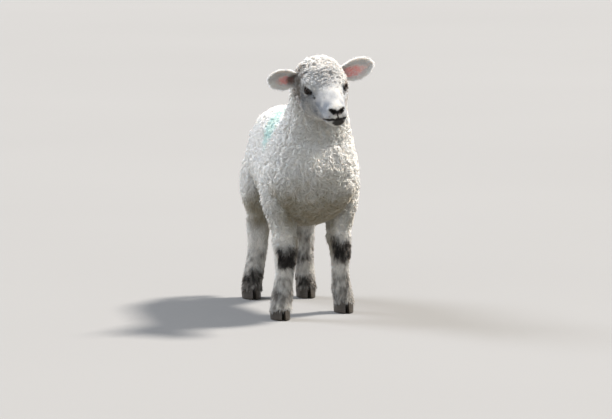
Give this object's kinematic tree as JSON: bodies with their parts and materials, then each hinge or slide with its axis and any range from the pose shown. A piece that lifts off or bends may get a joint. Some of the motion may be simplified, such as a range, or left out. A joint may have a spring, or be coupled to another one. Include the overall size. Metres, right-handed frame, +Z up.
{
  "type": "lamb",
  "caption": "Life-size still model of a young white lamb standing with its head up, for a display or a scene.",
  "frame": {"origin": "on the floor, under the middle of the lamb's box", "axes": "+Z up; the lamb faces -Y and its left side is +X; the hoof soles stand on Z = 0"},
  "size_m": [0.2457, 0.6027, 0.5728],
  "materials": {
    "wool": "curly off-white lamb's fleece, matt",
    "face_fur": "short dense off-white fur, matt",
    "ear_skin": "thin pink skin with sparse white hair",
    "leg_fur": "short fur, white with black and brown mottling",
    "hoof_horn": "dark grey-brown horn, satin",
    "eye_gloss": "wet dark eye, glossy"
  },
  "bodies": {
    "root": {"torso": "wool", "neck": "wool", "tail": "wool", "head": "face_fur", "ear_right": "ear_skin", "ear_left": "ear_skin", "eye_right": "eye_gloss", "eye_left": "eye_gloss", "upper_foreleg_right": "wool", "upper_foreleg_left": "wool", "upper_hindleg_right": "wool", "upper_hindleg_left": "wool", "lower_foreleg_right": "leg_fur", "lower_foreleg_left": "leg_fur", "lower_hindleg_right": "leg_fur", "lower_hindleg_left": "leg_fur", "hoof_foreleg_right_right": "hoof_horn", "dewclaw_foreleg_right_right": "hoof_horn", "hoof_foreleg_right_left": "hoof_horn", "dewclaw_foreleg_right_left": "hoof_horn", "hoof_foreleg_left_right": "hoof_horn", "dewclaw_foreleg_left_right": "hoof_horn", "hoof_foreleg_left_left": "hoof_horn", "dewclaw_foreleg_left_left": "hoof_horn", "hoof_hindleg_right_right": "hoof_horn", "dewclaw_hindleg_right_right": "hoof_horn", "hoof_hindleg_right_left": "hoof_horn", "dewclaw_hindleg_right_left": "hoof_horn", "hoof_hindleg_left_right": "hoof_horn", "dewclaw_hindleg_left_right": "hoof_horn", "hoof_hindleg_left_left": "hoof_horn", "dewclaw_hindleg_left_left": "hoof_horn"}
  },
  "joints": []
}
